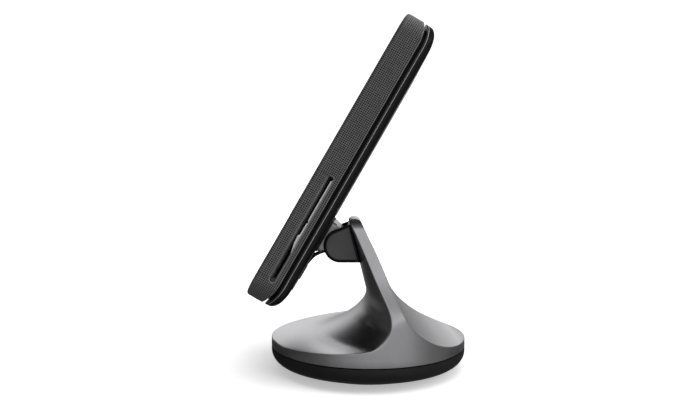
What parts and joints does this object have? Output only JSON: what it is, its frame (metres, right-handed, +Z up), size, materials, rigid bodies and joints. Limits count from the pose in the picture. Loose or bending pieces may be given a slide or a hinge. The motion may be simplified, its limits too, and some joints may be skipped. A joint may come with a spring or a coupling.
{
  "type": "card payment terminal",
  "caption": "Tablet-style card terminal with a knurled grip band and a side card slot, on a friction tilt hinge over a swept round metal stand.",
  "frame": {"origin": "centre of the round base on the table", "axes": "+Z up; +X towards the back of the stand; the screen faces -X and up; the card slot is on the -Y side"},
  "size_m": [0.1117, 0.1034, 0.1797],
  "materials": {
    "anodised_aluminium": "fine-grained satin anodised, space grey",
    "black_abs": "satin moulded",
    "steel": "plain",
    "spring_steel": "ground",
    "rubber": "matt",
    "connector_steel": "drawn",
    "circuit_board": "solder mask",
    "grey_satin_plastic": "fine-grained satin",
    "bright_metal": "bead blasted",
    "grip_rubber": "square-knurled grip",
    "screen_glass": "polished",
    "cover_plastic": "satin",
    "dark_frame": "matt",
    "display_black": "polished",
    "copper_film": "film",
    "reader_plastic": "matt",
    "contact_metal": "plated",
    "battery_wrap": "foil wrap",
    "black_screws": "blackened",
    "button_plastic": "satin",
    "lead_black": "satin jacket"
  },
  "bodies": {
    "stand": {"stand_shell": "anodised_aluminium", "base_tray": "black_abs", "weight_plate": "steel", "foot_ring": "rubber", "base_screws": "steel", "power_inlet": "connector_steel", "inlet_board": "circuit_board", "hinge_yoke": "black_abs", "cheek_cover_near": "grey_satin_plastic", "cheek_cover_far": "grey_satin_plastic", "hinge_shaft": "steel", "friction_washers": "spring_steel", "shaft_collars": "steel", "yoke_screws": "steel", "lead_gland": "rubber", "lead": "lead_black"},
    "head": {"hinge_bracket": "bright_metal", "mount_plate": "black_abs", "grip_band": "grip_rubber", "screen_glass": "screen_glass", "back_cover": "cover_plastic", "chassis": "dark_frame", "display_panel": "display_black", "antenna_coil": "copper_film", "card_reader": "reader_plastic", "contact_block": "contact_metal", "battery": "battery_wrap", "main_board": "circuit_board", "speaker": "dark_frame", "nut_plate": "steel", "bracket_screws": "steel", "cover_screws": "black_screws", "button_switch": "connector_steel", "lead_plug": "lead_black", "head_port": "connector_steel"},
    "power_button": {"power_button": "button_plastic"}
  },
  "joints": [
    {"name": "head_tilt", "type": "hinge", "parent": "stand", "child": "head", "pos_m": [-0.0144, 0, 0.066], "axis": [0, 1, 0], "range_deg": [-30, 25], "deforming": ["lead"]},
    {"name": "power_button_press", "type": "slide", "parent": "head", "child": "power_button", "axis": [0, -1, 0], "range_m": [0, 0.0005], "stiffness_N_per_m": 1200}
  ]
}
